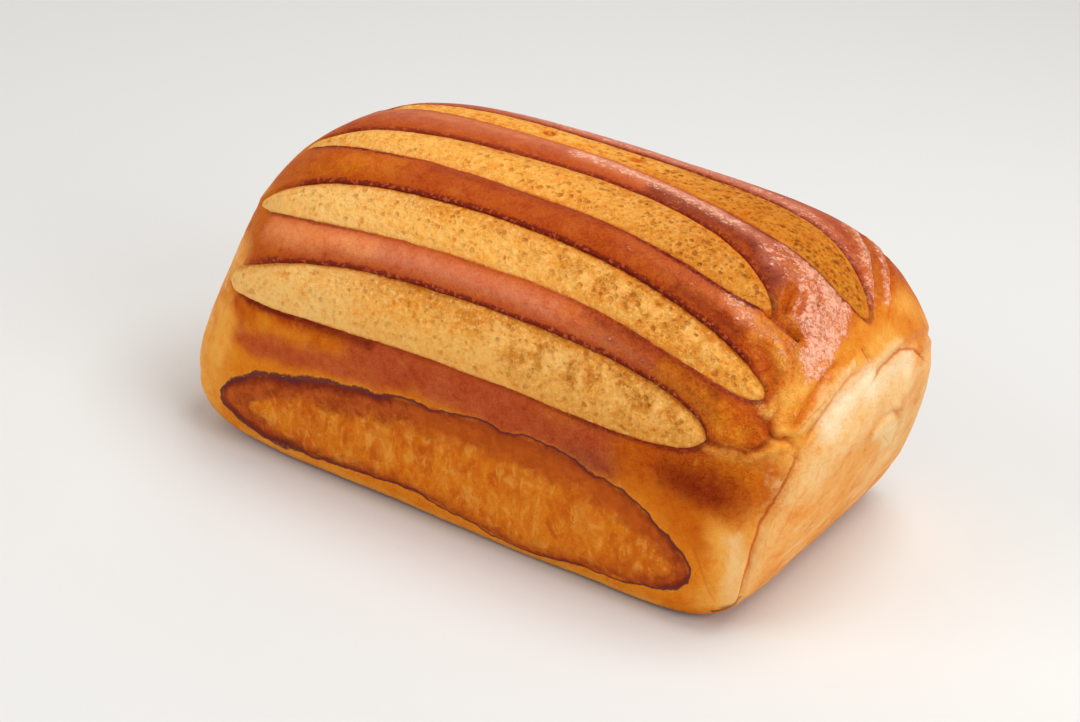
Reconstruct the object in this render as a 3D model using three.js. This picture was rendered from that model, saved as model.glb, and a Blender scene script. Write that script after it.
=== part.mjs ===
// A scored tin loaf in one solid. Millimetres, +Z up, length along X, the origin at the middle of the
// flat base.
// Below wallHeight the loaf has the shape of its tin; above it the dough has risen into a rounded crown.
import * as THREE from "three";

// Driving dimensions
const halfLength = 110;
const halfWidth = 64.2;
const wallHeight = 56.3; // where the tin's wall ends and the crown begins
const crownRise = 49.3; // from there to the top
const baseSink = 1.5; // the rounded underside is cut flat this far up
const shoulderBlend = 9; // height over which wall and crown run into each other
const wallLean = -0.017; // sideways draw-in of the long walls for each mm downwards
const coreHeight = 50; // the line along X from which every point of the surface is seen
const capStart = 75; // from here to the ends the rays from that line fan out
const boxShift = { x: 1.755, y: -0.35 }; // the ends differ, so this puts the origin under the box's middle
const shareCap = 1.2; // shares of the half length and width are held here outside the surface
const leastCrown = 0.15; // the crown keeps at least this share of its rise

// How each end differs: the loaf leans a little towards +X and is rounder at -X.
const ends = {
  left: { lean: -0.104, drawIn: 0.015, narrowing: 0.518, fall: 0.109, fallPower: 3.05, corner: 5.13 },
  right: { lean: 0.293, drawIn: 0.13, narrowing: 0.124, fall: 0.283, fallPower: 6.2, corner: 6.2 },
};
const crossFall = { amount: 0.395, power: 2.84 }; // how the crown drops towards the long sides
const crownPower = 2.19;
const sideCorner = { crown: 3.02, base: 11.4 }; // plan roundness, soft at the crown, tight at the base
const underside = { left: 4.25, middle: 7.35 };

// The scores that opened as the dough rose. Angles are about the core line, in degrees, 0 straight up
// and 90 level with the core on the -Y side. Bows bend a score forward towards its ends.
const scores = [
  { angle: 75.2, half: 9.2, swell: 0, leftTip: 97, rightTip: 77, leftBow: 8.5, rightBow: 5.6 },
  { angle: 47.9, half: 7.4, swell: -0.05, leftTip: 98, rightTip: 88, leftBow: 7, rightBow: 14 },
  { angle: 19.4, half: 8.8, swell: 0.15, leftTip: 96, rightTip: 79, leftBow: 5, rightBow: 20 },
  { angle: -13, half: 7.4, swell: 0.4, leftTip: 84, rightTip: 97, leftBow: 2, rightBow: 17 },
  { angle: -50, half: 7.6, swell: 0, leftTip: 92, rightTip: 80, leftBow: -5, rightBow: 3 },
  { angle: -77, half: 8.8, swell: 0, leftTip: 86, rightTip: 92, leftBow: -6, rightBow: -5 },
];
const bowReach = 90; // a bow reaches its full angle this far from the middle
const tipPower = 3.5; // how blunt the ends of a score are
const bowCap = 1.15; // a bow stops growing at this share of its reach

// Relief on the crown and the ends
const stripPuff = 1.2; // the crust between two scores stands this proud
const crumbSink = 1.6; // the crumb in a score lies this deep at its edges
const lipRise = 0.9; // the torn crust edge on the far side of a score
const lipWidth = 2.2; // degrees
const edgeBlend = 0.5; // degrees over which the crust drops to the crumb
const openWidth = 3; // a score is fully open where its half width is this many degrees
const scoreFlat = 0.9; // share of the puff that a score takes away
const puffAngles = { full: 86, none: 104 }; // degrees from the top where the puff fades out
const puffEnds = { full: 78, none: 104 }; // and the distance from the middle where it does

// The flat panel on each end face: a low arch above the core, nearly square below it.
const panel = { halfWidth: 57, above: 26, below: 46, archPower: 2, squarePower: 6, sink: 1, face: 103 };
const crease = { depth: 1.4, width: 1.6 };
const endRelief = { none: 86, full: 96 }; // distance from the middle where crease and panel begin
const panelBlend = { inside: -6, outside: 1 }; // the panel sinks between these distances from the crease

// Mesh density: about 9,200 triangles in all
const middleRows = 40;
const shoulderRows = 9; // from the straight part to the panel's crease
const creaseRows = [-0.055, 0, 0.055]; // radians of tilt about the crease
const panelRows = 6;
const scoreSteps = [-1.12, -0.95, -0.5, 0.1, 0.6, 0.94, 1.08]; // columns across a score, in half widths
const wallAngles = [94, 102, 110, 117, 122, 126, 130, 135, 145, 162];
const crownColumns = scores.length * scoreSteps.length;
const columns = 1 + 2 * wallAngles.length + crownColumns;
const evenFrom = 90; // past this distance from the middle the columns spread out evenly
const evenAt = 104;
const tightest = 0.45; // the columns of a score draw in to this share of their spread at its tips
const halvings = 36; // steps that find the surface on a ray
const farAway = 160; // longer than any ray inside the loaf
const settling = 3; // rounds that settle a column's angle

const rad = THREE.MathUtils.degToRad;
const clamp = THREE.MathUtils.clamp;
const smooth = THREE.MathUtils.smoothstep;

// Zero on the bare surface, negative inside: a rounded box whose length, width, roundness and
// crown change with height and with the distance from the middle.
function field(x, y, z) {
  const end = x < 0 ? ends.left : ends.right;
  const along = Math.min(Math.abs(x) / halfLength, shareCap);
  const rise = z - wallHeight;
  const soft = Math.hypot(rise, shoulderBlend);
  const below = (soft - rise) / 2;
  const above = (soft + rise) / 2;
  const length = halfLength - end.lean * below - (end.drawIn * above * above) / crownRise;
  const width = halfWidth - wallLean * below - end.narrowing * above * along * along;
  const across = Math.min(Math.abs(y) / width, shareCap);
  const drop = end.fall * along ** end.fallPower + crossFall.amount * across ** crossFall.power;
  const top = crownRise * Math.max(1 - drop, leastCrown);
  const down = clamp(below / wallHeight, 0, 1);
  const sidePower = sideCorner.crown + (sideCorner.base - sideCorner.crown) * down;
  const endPower = end.corner + ((sideCorner.base - sideCorner.crown) * down) / 2;
  const leftness = clamp(-x / halfLength, 0, shareCap) ** 2;
  const underPower = underside.middle + (underside.left - underside.middle) * leftness;
  const upright = rise > 0 ? (rise / top) ** crownPower : (-rise / (wallHeight + baseSink)) ** underPower;
  return (Math.abs(x) / length) ** endPower + across ** sidePower + upright - 1;
}

// Middle angle and half width of a score at x, in degrees; the half width is 0 beyond its tips.
function scoreAt(score, x) {
  const tip = x < 0 ? score.leftTip : score.rightTip;
  const bow = x < 0 ? score.leftBow : score.rightBow;
  const reach = Math.abs(x) / tip;
  const narrow = Math.sqrt(Math.max(1 - reach ** tipPower, 0));
  return {
    middle: score.angle + bow * Math.min(Math.abs(x) / bowReach, bowCap) ** 2,
    half: score.half * (1 + (score.swell * x) / bowReach) * narrow,
  };
}

// Distance from the core line to the panel's crease, for an angle in degrees.
function panelRadius(angle) {
  const up = Math.cos(rad(angle));
  const reach = up > 0 ? panel.above : panel.below;
  const power = up > 0 ? panel.archPower : panel.squarePower;
  const sum = Math.abs(Math.sin(rad(angle)) / panel.halfWidth) ** power + Math.abs(up / reach) ** power;
  return sum ** (-1 / power);
}

// Height of the relief over the bare surface at a point seen from the core under this angle.
function relief(point, angle) {
  let height = 0;
  let strip = 1;
  for (const score of scores) {
    const { middle, half } = scoreAt(score, point.x);
    const offset = angle - middle;
    const open = smooth(half, 0, openWidth);
    const inside = 1 - smooth(Math.abs(offset), half - edgeBlend, half + edgeBlend);
    const edge = half > 0 ? clamp(offset / half, -1, 1) ** 2 : 1;
    const lip = Math.exp(-(((offset + half + lipWidth) / lipWidth) ** 2));
    height += open * (lip * lipRise - inside * edge * crumbSink);
    strip *= 1 - scoreFlat * inside * open;
  }
  const crown = 1 - smooth(Math.abs(angle), puffAngles.full, puffAngles.none);
  const awayFromEnds = 1 - smooth(Math.abs(point.x), puffEnds.full, puffEnds.none);
  height += crown * awayFromEnds * stripPuff * strip;
  const onEnd = smooth(Math.abs(point.x), endRelief.none, endRelief.full);
  const outside = Math.hypot(point.y, point.z - coreHeight) - panelRadius(angle);
  height -= onEnd * crease.depth * Math.exp(-((outside / crease.width) ** 2));
  height -= onEnd * panel.sink * (1 - smooth(outside, panelBlend.inside, panelBlend.outside));
  return height;
}

// The ray from the core line at `start`, turned by `tilt` towards an end and by `angle` about the core.
function rayAt(tilt, angle) {
  const side = Math.cos(tilt) * Math.sin(rad(angle));
  const up = Math.cos(tilt) * Math.cos(rad(angle));
  return new THREE.Vector3(Math.sin(tilt), -side, up);
}

// The point where that ray leaves the bare surface, found by halving.
function barePoint(start, tilt, angle) {
  const ray = rayAt(tilt, angle);
  const core = new THREE.Vector3(start, 0, coreHeight);
  const point = new THREE.Vector3();
  let near = 0;
  let far = farAway;
  for (let step = 0; step < halvings; step++) {
    const middle = (near + far) / 2;
    point.copy(core).addScaledVector(ray, middle);
    if (field(point.x, point.y, point.z) < 0) near = middle;
    else far = middle;
  }
  return point;
}

// Column angles in order once round the loaf from under the base. Across the crown they follow the
// score edges at x, and towards the ends they spread out evenly.
function columnAngle(column, x) {
  const back = column - 1;
  const crown = back - wallAngles.length;
  const front = crown - crownColumns;
  if (column === 0) return -180;
  if (crown < 0) return -wallAngles[wallAngles.length - 1 - back];
  if (front >= 0) return wallAngles[front];
  const score = scores[scores.length - 1 - Math.floor(crown / scoreSteps.length)];
  const { middle, half } = scoreAt(score, x);
  const angle = middle + scoreSteps[crown % scoreSteps.length] * Math.max(half, score.half * tightest);
  const even = wallAngles[0] * ((2 * (crown + 1)) / (crownColumns + 1) - 1);
  return THREE.MathUtils.lerp(angle, even, smooth(Math.abs(x), evenFrom, evenAt));
}

// Rows along the loaf: where the ray starts and, for each angle, how far it tilts towards an end.
function rowRays() {
  const rows = [];
  for (let i = 0; i <= middleRows; i++) {
    rows.push({ start: THREE.MathUtils.lerp(-capStart, capStart, i / middleRows), tilt: () => 0 });
  }
  const creaseTilt = (angle) => Math.atan2(panel.face - capStart, panelRadius(angle));
  const tilts = [];
  for (let i = 1; i < shoulderRows; i++) tilts.push((angle) => (creaseTilt(angle) * i) / shoulderRows);
  for (const shift of creaseRows) tilts.push((angle) => creaseTilt(angle) + shift);
  for (let i = 1; i < panelRows; i++) {
    tilts.push((angle) => THREE.MathUtils.lerp(creaseTilt(angle), Math.PI / 2, i / panelRows));
  }
  for (const tilt of tilts) {
    rows.push({ start: capStart, tilt });
    rows.unshift({ start: -capStart, tilt: (angle) => -tilt(angle) });
  }
  return rows;
}

// One vertex: its column settles at the x that its ray reaches, then the relief moves it along the ray
// and the flat base holds it up.
function vertexAt(row, column) {
  let angle = columnAngle(column, row.start);
  for (let step = 0; step < settling; step++) {
    angle = columnAngle(column, barePoint(row.start, row.tilt(angle), angle).x);
  }
  const tilt = row.tilt(angle);
  const point = barePoint(row.start, tilt, angle);
  point.addScaledVector(rayAt(tilt, angle), relief(point, angle));
  point.z = Math.max(point.z, 0);
  return point;
}

// The closed skin: a grid of rows and columns with one point at the middle of each end face.
function loafGeometry() {
  const rows = rowRays();
  const positions = [];
  const indices = [];
  for (const row of rows) {
    for (let column = 0; column < columns; column++) positions.push(...vertexAt(row, column).toArray());
  }
  for (let row = 0; row < rows.length - 1; row++) {
    for (let column = 0; column < columns; column++) {
      const next = (column + 1) % columns;
      const a = row * columns + column;
      const b = row * columns + next;
      indices.push(a, b, a + columns, b, b + columns, a + columns);
    }
  }
  const leftPole = positions.length / 3;
  for (const end of [-1, 1]) {
    const pole = barePoint(end * capStart, (end * Math.PI) / 2, 0);
    positions.push(pole.x - end * panel.sink, pole.y, pole.z);
  }
  const lastRow = (rows.length - 1) * columns;
  for (let column = 0; column < columns; column++) {
    const next = (column + 1) % columns;
    indices.push(leftPole, next, column);
    indices.push(leftPole + 1, lastRow + column, lastRow + next);
  }
  const geometry = new THREE.BufferGeometry();
  geometry.setAttribute("position", new THREE.Float32BufferAttribute(positions, 3));
  geometry.setIndex(indices);
  geometry.computeVertexNormals();
  return geometry;
}

const crust = new THREE.MeshStandardMaterial({ color: 0xb4622a, roughness: 0.45, metalness: 0 });
const loaf = new THREE.Mesh(loafGeometry(), crust);
loaf.name = "loaf";
loaf.position.set(boxShift.x, boxShift.y, 0);

const part = new THREE.Group();
part.add(loaf);

export default part;
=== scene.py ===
import math

import bpy
import numpy as np
from mathutils import Matrix


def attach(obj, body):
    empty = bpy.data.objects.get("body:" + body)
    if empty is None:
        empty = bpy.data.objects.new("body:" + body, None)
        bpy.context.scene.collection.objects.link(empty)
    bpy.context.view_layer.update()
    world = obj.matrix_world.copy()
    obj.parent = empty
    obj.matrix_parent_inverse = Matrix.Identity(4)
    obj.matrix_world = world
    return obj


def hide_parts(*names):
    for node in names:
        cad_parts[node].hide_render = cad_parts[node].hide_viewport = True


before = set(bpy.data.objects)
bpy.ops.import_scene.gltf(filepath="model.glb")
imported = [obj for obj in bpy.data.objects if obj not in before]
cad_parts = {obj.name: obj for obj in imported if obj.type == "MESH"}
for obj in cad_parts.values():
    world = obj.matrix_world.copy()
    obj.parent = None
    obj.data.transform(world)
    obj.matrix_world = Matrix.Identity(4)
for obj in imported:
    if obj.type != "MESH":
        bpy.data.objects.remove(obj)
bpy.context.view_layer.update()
print("frame loaded")

# Lengths in the shape part are millimetres, with +X along the loaf, -Y the front and +Z up.
metre = 0.001
boxShift = np.array([1.755, -0.35, 0.0])

# The bare form: a tin's walls with a risen crown
form = {
    "halfLength": 110, "halfWidth": 64.2, "wallHeight": 56.3, "crownRise": 49.3, "baseSink": 1.5,
    "shoulderBlend": 9, "wallLean": -0.017, "coreHeight": 50, "capStart": 75, "shareCap": 1.2,
    "leastCrown": 0.15, "crossFall": 0.395, "crossPower": 2.84, "crownPower": 2.19,
    "crownCorner": 3.02, "baseCorner": 11.4, "underMiddle": 7.35, "underLeft": 4.25, "castReach": 160.0,
}
ends = {
    "lean": (-0.104, 0.293), "drawIn": (0.015, 0.13), "narrowing": (0.518, 0.124),
    "fall": (0.109, 0.283), "fallPower": (3.05, 6.2), "corner": (5.13, 6.2),
}

# The scores, from the back to the front: angles in degrees about the core line, 0 straight up and
# 90 level with it on the front. Each side has its tip, bow, bow power, swell and bluntness. lip is
# the height of the torn upper edge, sunk the drop of the crumb below it, ear and hem are how burnt
# the upper and lower edges are, airy how dark and wide the pores are. holes are larger bubbles:
# place along, angle, half width and depth in mm.
scores = [
    {"angle": -77, "half": 8.8, "left": (86, -6, 2, 0, 3.5), "right": (92, -5, 2, 0, 3.5),
     "lip": 0.7, "sunk": 1.0, "ear": 0.8, "hem": 0.6, "airy": 0.4, "seed": 61},
    {"angle": -50, "half": 7.6, "left": (92, -5, 2, 0, 3.5), "right": (80, 3, 2, 0, 3.5),
     "lip": 0.7, "sunk": 1.0, "ear": 0.8, "hem": 0.6, "airy": 0.4, "seed": 52},
    {"angle": -13.9, "half": 7.5, "left": (84, 2, 2, 0, 3.5), "right": (97, 17.5, 1.5, 0.83, 8),
     "lip": 0.15, "sunk": 0.35, "ear": 0.6, "hem": 1.1, "airy": 1, "seed": 43,
     "holes": ((7, -13, 3.2, 1.6), (-24, -11.5, 2.4, 1.2), (52, 1, 1.6, 0.8))},
    {"angle": 19.2, "half": 9.8, "left": (96, 6, 2, -0.36, 5), "right": (79, 24, 2, 0, 2.8),
     "lip": 0.3, "sunk": 0.6, "ear": 0.6, "hem": 1.3, "airy": 0.75, "seed": 34},
    {"angle": 47.9, "half": 7.6, "left": (99, 7.5, 2.6, 0.1, 4.6), "right": (88, 16.5, 2, -0.2, 9),
     "lip": 0.55, "sunk": 0.7, "ear": 0.9, "hem": 0.8, "airy": 0.3, "seed": 25,
     "holes": ((73, 62.4, 1.0, 0.8),)},
    {"angle": 75.2, "half": 9.4, "left": (98, 9, 2.4, 0, 3.2), "right": (77, 5.6, 2, 0, 4),
     "lip": 0.55, "sunk": 0.7, "ear": 0.9, "hem": 0.9, "airy": 0.25, "seed": 16},
]
# bowReach: where the bow is whole, in mm from the middle; bowCap: the most of it that counts;
# tightest: the least half width in degrees that the crust's columns keep; leastRadius: the least
# distance from the core line that turns degrees into mm
scoreForm = {"bowReach": 90, "bowCap": 1.15, "tightest": 3.8, "leastRadius": 20}

# Outlines are taken to rise at least this much per mm, so that distances from them stay finite
leastSlope = 0.02

# The flat panel that the tin leaves on each end face
panel = {"halfWidth": 57, "above": 26, "below": 46, "archPower": 2, "squarePower": 6,
         "face": 103, "sink": 1.0, "creaseDepth": 1.1, "creaseWidth": 1.5}


def smooth(value, low, high):
    # 0 at low and beyond, 1 at high and beyond, 3t^2 - 2t^3 between; it falls if low is above high
    t = np.clip((value - low) / (high - low), 0, 1)
    return t * t * (3 - 2 * t)


def bell(value, width):
    # e to the power of -(value / width)^2
    return np.exp(-((value / width) ** 2))


def field(x, y, z):
    # negative inside: |x/length|^a + |y/width|^b + (height over or under the wall's top)^c - 1
    def end(name):
        return np.where(x < 0, ends[name][0], ends[name][1])

    along = np.minimum(np.abs(x) / form["halfLength"], form["shareCap"])
    rise = z - form["wallHeight"]
    soft = np.hypot(rise, form["shoulderBlend"])
    below = (soft - rise) / 2
    above = (soft + rise) / 2
    length = form["halfLength"] - end("lean") * below - end("drawIn") * above**2 / form["crownRise"]
    width = form["halfWidth"] - form["wallLean"] * below - end("narrowing") * above * along**2
    across = np.minimum(np.abs(y) / width, form["shareCap"])
    drop = end("fall") * along ** end("fallPower") + form["crossFall"] * across ** form["crossPower"]
    top = form["crownRise"] * np.maximum(1 - drop, form["leastCrown"])
    down = np.clip(below / form["wallHeight"], 0, 1)
    tighter = (form["baseCorner"] - form["crownCorner"]) * down
    leftness = np.clip(-x / form["halfLength"], 0, form["shareCap"]) ** 2
    under = form["underMiddle"] + (form["underLeft"] - form["underMiddle"]) * leftness
    risen = (np.maximum(rise, 0) / top) ** form["crownPower"]
    sunk = (np.maximum(-rise, 0) / (form["wallHeight"] + form["baseSink"])) ** under
    ring = (np.abs(x) / length) ** (end("corner") + tighter / 2)
    return ring + across ** (form["crownCorner"] + tighter) + risen + sunk - 1


def castOut(origin, ray, steps=15):
    # the point where each ray leaves the bare form: halving, then one straight-line step
    near = np.zeros(len(ray))
    far = np.full(len(ray), form["castReach"])
    for _ in range(steps):
        middle = (near + far) / 2
        inside = field(*(origin + ray * middle[:, None]).T) < 0
        near = np.where(inside, middle, near)
        far = np.where(inside, far, middle)
    low = field(*(origin + ray * near[:, None]).T)
    high = field(*(origin + ray * far[:, None]).T)
    reach = near + (far - near) * np.clip(-low / np.maximum(high - low, 1e-12), 0, 1)
    return origin + ray * reach[:, None]


def fromCore(start, tilt, angle, steps=15):
    # rays from the core line at start, tilted towards +X and turned by angle from straight up
    start, tilt, angle = np.broadcast_arrays(start, tilt, np.radians(angle))
    origin = np.stack([start, 0 * start, 0 * start + form["coreHeight"]], -1)
    flat = np.cos(tilt)
    ray = np.stack([np.sin(tilt), -flat * np.sin(angle), flat * np.cos(angle)], -1)
    return castOut(origin, ray, steps)


def outward(points):
    # unit normals of the bare form from central differences of its field
    step = 0.05
    slopes = []
    for axis in np.eye(3) * step:
        slopes.append(field(*(points + axis).T) - field(*(points - axis).T))
    normal = np.stack(slopes, -1)
    return normal / np.linalg.norm(normal, axis=1, keepdims=True)


def hashed(i, j, k, seed):
    # a repeatable number from 0 to 1 for each lattice corner
    mixed = ((i * 73856093) ^ (j * 19349663) ^ (k * 83492791) ^ (seed * 2654435761)) & 0xFFFFFFFF
    for _ in range(2):
        mixed = (((mixed >> 16) ^ mixed) * 0x45D9F3B) & 0xFFFFFFFF
    return ((mixed >> 16) ^ mixed) / 0xFFFFFFFF


def lumps(points, size, seed, octaves=2):
    # smooth noise from -1 to 1 on a cubic lattice, each octave half as big and half as strong
    total = 0
    weight = 1
    whole = 0
    for octave in range(octaves):
        q = points * 2**octave / size + 17.3 * octave
        cell = np.floor(q).astype(np.int64)
        f = q - cell
        f = f * f * (3 - 2 * f)
        value = 0
        for corner in np.ndindex(2, 2, 2):
            share = np.prod(np.where(corner, f, 1 - f), axis=-1)
            value = value + share * hashed(*(cell + corner).T, seed + octave)
        total = total + weight * (2 * value - 1)
        whole += weight
        weight /= 2
    return total / whole


def pits(u, v, cell, least, most, share, seed):
    # dents of random place and size, at most one to a square cell: 1 deep inside, 0 outside
    cellU = np.floor(u / cell).astype(np.int64)
    cellV = np.floor(v / cell).astype(np.int64)
    deepest = np.zeros(len(u))
    for stepU, stepV in np.ndindex(3, 3):
        i = cellU + stepU - 1
        j = cellV + stepV - 1
        radius = least + (most - least) * hashed(i, j, 3, seed) ** 2
        offU = u - (i + 0.15 + 0.7 * hashed(i, j, 1, seed)) * cell
        offV = v - (j + 0.15 + 0.7 * hashed(i, j, 2, seed)) * cell
        inside = 1 - smooth(np.hypot(offU, offV) / radius, 0.3, 1.15)
        deepest = np.maximum(deepest, inside * (hashed(i, j, 4, seed) < share))
    return deepest


def polar(points):
    # angle about the core line in degrees and distance from it
    up = points[:, 2] - form["coreHeight"]
    return np.degrees(np.arctan2(-points[:, 1], up)), np.hypot(points[:, 1], up)


def scoreSide(score, x):
    # tip, bow, bow power, swell and bluntness of a score on the side where x is
    left, right = score["left"], score["right"]
    return [np.where(x < 0, left[i], right[i]) for i in range(5)]


def scoreLine(score, x):
    # middle angle of a score, angle + bow * |x / reach|^power, and its half width before the tips
    _, bow, power, swell, _ = scoreSide(score, x)
    away = np.abs(x) / scoreForm["bowReach"]
    middle = score["angle"] + bow * np.minimum(away, scoreForm["bowCap"]) ** power
    return middle, score["half"] * (1 + swell * away)


def scoreEdge(score, points):
    # place across a score, -1 at the ear and 1 at the hem, and the distance outside its outline in
    # mm: g = sqrt((angle / half)^2 + |x / tip|^power), distance = (g - 1) / slope of g
    x = points[:, 0]
    angle, radius = polar(points)
    middle, half = scoreLine(score, x)
    tip, bow, bowPower, _, blunt = scoreSide(score, x)
    away = np.abs(x) / tip
    across = (angle - middle) / half
    g = np.sqrt(across**2 + away**blunt + 1e-6)
    slopeAngle = across / half / g / (np.maximum(radius, scoreForm["leastRadius"]) * math.pi / 180)
    reach = scoreForm["bowReach"]
    bend = bow * bowPower * (np.abs(x) / reach) ** (bowPower - 1) / reach
    slopeX = (blunt / 2 * away ** (blunt - 1) / tip / g - across / half / g * bend) * np.sign(x)
    distance = (g - 1) / np.maximum(np.hypot(slopeX, slopeAngle), leastSlope)
    return np.clip(across, -1, 1), distance


def panelRadius(angle):
    # distance from the core line to the crease round an end panel: a low arch above, squarer below
    up = np.cos(np.radians(angle))
    side = np.abs(np.sin(np.radians(angle)) / panel["halfWidth"])
    power = np.where(up > 0, panel["archPower"], panel["squarePower"])
    reach = np.where(up > 0, panel["above"], panel["below"])
    return (side**power + np.abs(up / reach) ** power) ** (-1 / power)


def colour(red, green, blue):
    # a screen colour of 0 to 255 as linear light
    values = np.array([red, green, blue]) / 255
    return np.where(values <= 0.04045, values / 12.92, ((values + 0.055) / 1.055) ** 2.4)


# the rose, blush and mauve below are crust tones that are partly painted sheen
palette = {
    "white": (255, 240, 214), "cream": (252, 216, 158), "peach": (246, 176, 92),
    "straw": (242, 172, 74), "gold": (226, 134, 28), "amber": (202, 99, 4), "honey": (222, 130, 18),
    "copper": (194, 86, 14), "brick": (188, 84, 40), "russet": (134, 38, 8), "umber": (92, 20, 8),
    "plum": (90, 40, 48), "maroon": (110, 20, 14), "lace": (206, 98, 60), "rose": (214, 114, 56),
    "blush": (244, 156, 96), "corn": (204, 126, 32), "mauve": (224, 138, 112),
    "pink": (255, 192, 166), "olive": (206, 132, 48), "pore": (128, 62, 8), "base": (170, 84, 16),
    "bistre": (136, 32, 0), "butter": (252, 198, 110), "oat": (253, 206, 130),
    "bran": (170, 104, 34), "ember": (108, 24, 12),
}
palette = {name: colour(*tone) for name, tone in palette.items()}

# Brush marks on the crust, painted in turn: tone, half width in mm, how much of the tone, share of
# the width that fades, wander of the edge in mm, and the places, as (x, angle) on the side or as
# (y, z) on the end face where end is 1 or -1. lift: height in mm; the keyword after it is a painted
# highlight: how much pale broken glint is laid into the colour, which also makes the glaze glossier;
# taper: narrows to its ends; size: mm from one wander to the next.
marks = []


def mark(tone, wide, mix, soft, ragged, *at, lift=0.0, glintAndGloss=0.0, taper=False, end=0, size=None):
    marks.append({"tone": tone, "wide": wide, "mix": mix, "soft": soft, "ragged": ragged, "at": at,
                  "lift": lift, "glintAndGloss": glintAndGloss, "taper": taper, "end": end,
                  "size": size or max(wide, 1.5)})


# crust between the first and second scores; the rose, mauve and blush here are partly painted sheen
mark("amber", 7, 0.9, 0.6, 2, (-102, 62), (-92, 66), (-80, 67))
mark("copper", 4, 0.7, 0.6, 2, (-86, 67), (-80, 64))
mark("rose", 4.6, 0.9, 0.8, 1.2, (-84, 66), (-60, 63.3), (-30, 60.5), (0, 59.6), (20, 60.6), (40, 63))
mark("mauve", 3, 0.4, 0.9, 1.2, (-60, 62.5), (-20, 60.4), (20, 60.5))
mark("blush", 3.6, 0.65, 0.9, 1.5, (-84, 65.8), (-66, 63.8), (-46, 61.8))
mark("copper", 1.8, 0.6, 0.9, 1, (-60, 67), (-30, 64.8), (0, 63.6), (30, 65.5), (50, 68))
mark("amber", 6, 0.95, 0.6, 1.5, (60, 68.5), (76, 72), (90, 75))
mark("russet", 1.4, 0.6, 0.9, 0.8, (30, 59.2), (46, 61), (60, 63.9), (76, 68))
mark("rose", 2.6, 0.5, 0.9, 1.4, (24, 61), (40, 63), (54, 65.5), glintAndGloss=0.12)
mark("honey", 3.4, 0.9, 0.9, 1, (60, 67), (72, 70.5), (84, 75))
mark("gold", 1.6, 0.5, 0.9, 1, (74, 74), (86, 77.2))
# between the second and third; the rose is partly painted sheen, the blush at the right end a painted
# highlight
mark("amber", 6, 0.95, 0.6, 1.5, (-98, 42), (-80, 38), (-60, 36.4), (-44, 35.8))
mark("gold", 2.6, 0.4, 0.9, 1.5, (-70, 36), (-52, 35))
mark("copper", 5, 0.95, 0.6, 1.5, (-44, 35.8), (-20, 35), (0, 34.6), (26, 35.8))
mark("russet", 1.4, 0.4, 0.9, 0.7, (-40, 31.2), (0, 30.8), (24, 32))
mark("rose", 2.4, 0.2, 0.9, 1.2, (-60, 37), (-20, 36), (20, 36.5))
mark("copper", 4.5, 0.7, 0.6, 2, (26, 36.5), (44, 39), (60, 43))
mark("rose", 3.2, 0.35, 0.9, 1.6, (30, 35.5), (48, 39), (62, 43), glintAndGloss=0.14)
mark("russet", 2, 0.6, 0.9, 1.2, (52, 43.5), (64, 46), (74, 49.5))
mark("blush", 3, 0.5, 0.8, 1.8, (68, 40.5), (73, 42.5), (80, 46), glintAndGloss=0.62)
# between the third and fourth; the rose and mauve along its upper side are painted sheen
mark("rose", 4, 0.7, 0.9, 1.5, (-84, 2), (-55, 0), (-30, -1), (-5, -2), glintAndGloss=0.1)
mark("copper", 5, 0.95, 0.6, 1.5, (-84, 11), (-50, 10), (-30, 9), (-5, 5), (8, 4))
mark("rose", 3.4, 0.8, 0.9, 1.5, (-6, 0), (10, 1), (24, 3.5), (40, 8), (52, 12), glintAndGloss=0.35)
mark("russet", 3.2, 0.8, 0.9, 1.2, (24, 7.5), (44, 12), (58, 15.5), (70, 22), (75, 28))
mark("russet", 2.4, 0.6, 0.9, 1.5, (50, 7.5), (62, 10.5), (72, 15), (79, 21))
mark("mauve", 2.8, 0.5, 0.9, 1.6, (-8, -2.5), (12, -1), (28, 2.5), (45, 7), (63, 14), (71, 21),
     glintAndGloss=0.32)
# behind the fourth, with a mauve painted sheen along it
mark("brick", 9, 0.7, 0.6, 3, (-80, -27), (-30, -29), (10, -29), (50, -26), (80, -20), glintAndGloss=0.1)
mark("mauve", 2.8, 0.5, 0.9, 1.6, (-50, -27), (0, -26), (30, -25), (52, -21), (72, -15), (84, -9),
     glintAndGloss=0.32)

# the risen bulge at the right end: its rose marks are a painted highlight over the crust, and the folds
# take it away
mark("rose", 9.5, 0.85, 0.6, 3, (78, 10), (84, 20), (89, 33), (91, 46), lift=0.8, glintAndGloss=0.62)
mark("rose", 4, 0.5, 0.8, 2.5, (88, 30), (93, 38), (94, 46), glintAndGloss=0.3)
mark("gold", 4.5, 0.75, 0.8, 2, (78, 38), (84, 43), (88, 52), (90, 60), glintAndGloss=-0.45)
mark("gold", 3, 0.6, 0.9, 1.5, (79, 47), (84, 51), (88, 58), glintAndGloss=-0.3)
mark("straw", 3.5, 0.7, 0.9, 1.5, (92, 52), (96, 44), (98, 34), glintAndGloss=-0.3)
mark("straw", 3.5, 0.7, 0.9, 1.5, (94, 62), (97, 70), (98, 78))
mark("straw", 4, 0.5, 0.9, 1.5, (100, -44), (102, -28), (102, -12))
mark("gold", 2.4, 0.5, 0.9, 1.2, (72, 40), (78, 42))
mark("straw", 3.5, 0.75, 0.9, 2, (98, 0), (100, 18), (100, 36), (98, 50), glintAndGloss=-0.4)
mark("straw", 3, 0.6, 0.9, 1.5, (90, -20), (95, -10), (98, 0))
mark("rose", 4.6, 0.8, 0.7, 2.5, (84, 8), (90, 16), (94.5, 27), (96, 39), (95.5, 49), glintAndGloss=0.6)
mark("rose", 2.6, 0.85, 0.6, 1.5, (74, -28), (84, -21), (91, -11), (95, -2), lift=0.5, glintAndGloss=0.6)
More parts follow.
